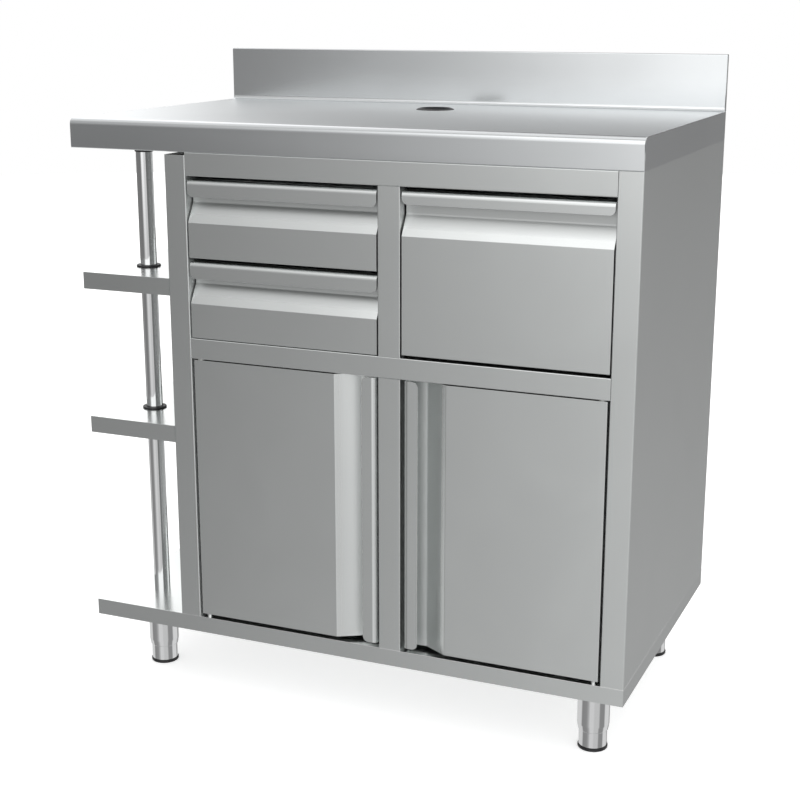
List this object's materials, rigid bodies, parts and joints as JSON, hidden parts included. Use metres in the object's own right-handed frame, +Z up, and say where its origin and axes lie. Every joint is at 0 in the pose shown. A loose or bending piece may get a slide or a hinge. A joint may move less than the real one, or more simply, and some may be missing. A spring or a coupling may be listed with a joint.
{
  "type": "waiter service station",
  "caption": "Free-standing stainless steel waiter station with drawers, hinged cupboard doors and an open bay of side shelves under one worktop with a rear upstand.",
  "frame": {"origin": "on the floor, under the centre of the worktop's outline", "axes": "+Z up, +X to the right seen from the front, +Y to the back, so the drawers and doors face -Y"},
  "size_m": [1.028, 0.6, 1.153],
  "materials": {
    "worktop_sheet": "fine satin, 1.5 mm stainless sheet",
    "body_sheet": "satin, 1.2 mm stainless sheet",
    "front_sheet": "satin, 1.2 mm stainless sheet",
    "box_sheet": "plain mill finish, 1 mm stainless sheet",
    "polished_tube": "polished",
    "runner_steel": "zinc plated",
    "bright_fasteners": "bright stainless",
    "black_plastic": "fine moulded grain",
    "magnet_case": "moulded",
    "bush_nylon": "turned nylon"
  },
  "bodies": {
    "carcass": {"worktop": "worktop_sheet", "worktop_stiffeners": "worktop_sheet", "post_channel": "worktop_sheet", "cable_grommet": "black_plastic", "left_side_panel": "body_sheet", "right_side_panel": "body_sheet", "back_panel": "body_sheet", "top_rail": "body_sheet", "middle_rail": "body_sheet", "upper_mullion": "body_sheet", "lower_mullion": "body_sheet", "left_inner_wall": "body_sheet", "right_inner_wall": "body_sheet", "centre_partition": "body_sheet", "dividing_deck": "body_sheet", "base_tray": "body_sheet", "upper_side_shelf": "body_sheet", "lower_side_shelf": "body_sheet", "front_post": "polished_tube", "rear_post": "polished_tube", "post_collars": "black_plastic", "post_caps": "black_plastic", "cupboard_shelf": "body_sheet", "shelf_supports": "body_sheet", "door_pivot_pins": "bright_fasteners", "door_magnets": "magnet_case", "front_left_leg_sleeve": "polished_tube", "front_right_leg_sleeve": "polished_tube", "rear_left_leg_sleeve": "polished_tube", "rear_right_leg_sleeve": "polished_tube", "upper_drawer_outer_runners": "runner_steel", "lower_drawer_outer_runners": "runner_steel", "deep_drawer_outer_runners": "runner_steel"},
    "upper_drawer": {"upper_drawer_front": "front_sheet", "upper_drawer_box": "box_sheet", "upper_drawer_inner_runners": "runner_steel"},
    "upper_drawer_middle_members": {"upper_drawer_middle_runners": "runner_steel"},
    "lower_drawer": {"lower_drawer_front": "front_sheet", "lower_drawer_box": "box_sheet", "lower_drawer_inner_runners": "runner_steel"},
    "lower_drawer_middle_members": {"lower_drawer_middle_runners": "runner_steel"},
    "deep_drawer": {"deep_drawer_front": "front_sheet", "deep_drawer_box": "box_sheet", "deep_drawer_inner_runners": "runner_steel"},
    "deep_drawer_middle_members": {"deep_drawer_middle_runners": "runner_steel"},
    "left_door": {"left_door_skin": "front_sheet", "left_door_liner": "box_sheet", "left_door_bushes": "bush_nylon"},
    "right_door": {"right_door_skin": "front_sheet", "right_door_liner": "box_sheet", "right_door_bushes": "bush_nylon"},
    "front_left_adjuster": {"front_left_foot": "polished_tube", "front_left_foot_pad": "black_plastic"},
    "front_right_adjuster": {"front_right_foot": "polished_tube", "front_right_foot_pad": "black_plastic"},
    "rear_left_adjuster": {"rear_left_foot": "polished_tube", "rear_left_foot_pad": "black_plastic"},
    "rear_right_adjuster": {"rear_right_foot": "polished_tube", "rear_right_foot_pad": "black_plastic"}
  },
  "joints": [
    {"name": "upper_drawer_slide", "type": "slide", "parent": "carcass", "child": "upper_drawer", "axis": [0, -1, 0], "range_m": [0, 0.45]},
    {"name": "upper_drawer_runner_slide", "type": "slide", "parent": "carcass", "child": "upper_drawer_middle_members", "axis": [0, -1, 0], "range_m": [0, 0.225]},
    {"name": "lower_drawer_slide", "type": "slide", "parent": "carcass", "child": "lower_drawer", "axis": [0, -1, 0], "range_m": [0, 0.45]},
    {"name": "lower_drawer_runner_slide", "type": "slide", "parent": "carcass", "child": "lower_drawer_middle_members", "axis": [0, -1, 0], "range_m": [0, 0.225]},
    {"name": "deep_drawer_slide", "type": "slide", "parent": "carcass", "child": "deep_drawer", "axis": [0, -1, 0], "range_m": [0, 0.45]},
    {"name": "deep_drawer_runner_slide", "type": "slide", "parent": "carcass", "child": "deep_drawer_middle_members", "axis": [0, -1, 0], "range_m": [0, 0.225]},
    {"name": "left_door_hinge", "type": "hinge", "parent": "carcass", "child": "left_door", "pos_m": [-0.27, -0.2888, 0.155], "axis": [0, 0, -1], "range_deg": [0, 100]},
    {"name": "right_door_hinge", "type": "hinge", "parent": "carcass", "child": "right_door", "pos_m": [0.46, -0.2888, 0.155], "axis": [0, 0, 1], "range_deg": [0, 100]},
    {"name": "front_left_foot_screw", "type": "slide", "parent": "carcass", "child": "front_left_adjuster", "axis": [0, 0, -1], "range_m": [0, 0.03]},
    {"name": "front_right_foot_screw", "type": "slide", "parent": "carcass", "child": "front_right_adjuster", "axis": [0, 0, -1], "range_m": [0, 0.03]},
    {"name": "rear_left_foot_screw", "type": "slide", "parent": "carcass", "child": "rear_left_adjuster", "axis": [0, 0, -1], "range_m": [0, 0.03]},
    {"name": "rear_right_foot_screw", "type": "slide", "parent": "carcass", "child": "rear_right_adjuster", "axis": [0, 0, -1], "range_m": [0, 0.03]}
  ],
  "couplings": [
    {"joint": "upper_drawer_runner_slide", "follows": "upper_drawer_slide", "ratio": 0.5},
    {"joint": "lower_drawer_runner_slide", "follows": "lower_drawer_slide", "ratio": 0.5},
    {"joint": "deep_drawer_runner_slide", "follows": "deep_drawer_slide", "ratio": 0.5}
  ]
}
